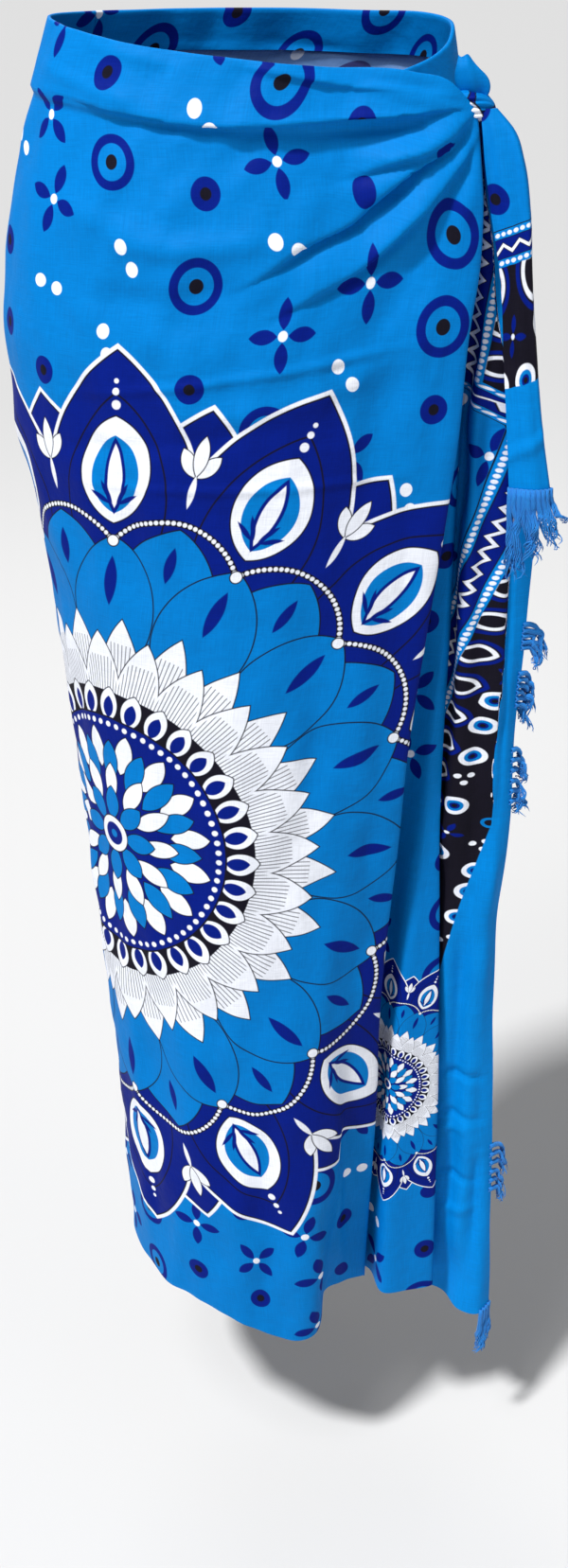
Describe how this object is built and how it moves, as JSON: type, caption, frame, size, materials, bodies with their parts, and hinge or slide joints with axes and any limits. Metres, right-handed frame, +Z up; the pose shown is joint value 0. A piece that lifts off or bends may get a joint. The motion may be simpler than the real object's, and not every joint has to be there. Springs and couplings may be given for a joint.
{
  "type": "sarong",
  "caption": "Ankle-length printed rayon sarong wrapped round the hips and knotted at the left hip, with a fringed tail and end hanging down the side, held in its hollow worn shape.",
  "frame": {"origin": "centre of the waist opening, where the sarong is held on the body", "axes": "+Z up; -Y to the front of the wearer; +X to the wearer's left, where the knot is"},
  "size_m": [0.3882, 0.2578, 1.0872],
  "materials": {
    "printed_rayon": "smooth light rayon with a slight sheen",
    "printed_rayon_back": "smooth light rayon with a slight sheen",
    "border_rayon": "smooth light rayon with a slight sheen",
    "fringe_yarn": "loose matt yarn"
  },
  "bodies": {
    "root": {"wrap_front": "printed_rayon", "wrap_back": "printed_rayon_back", "fold_middle": "printed_rayon", "end_fall": "border_rayon", "knot": "printed_rayon", "ear": "printed_rayon", "tail": "border_rayon", "tail_fringe": "fringe_yarn", "tip_fringe": "fringe_yarn", "end_fringe_upper": "fringe_yarn", "end_fringe_middle": "fringe_yarn", "end_fringe_ragged": "fringe_yarn", "end_fringe_lower": "fringe_yarn"}
  },
  "joints": []
}
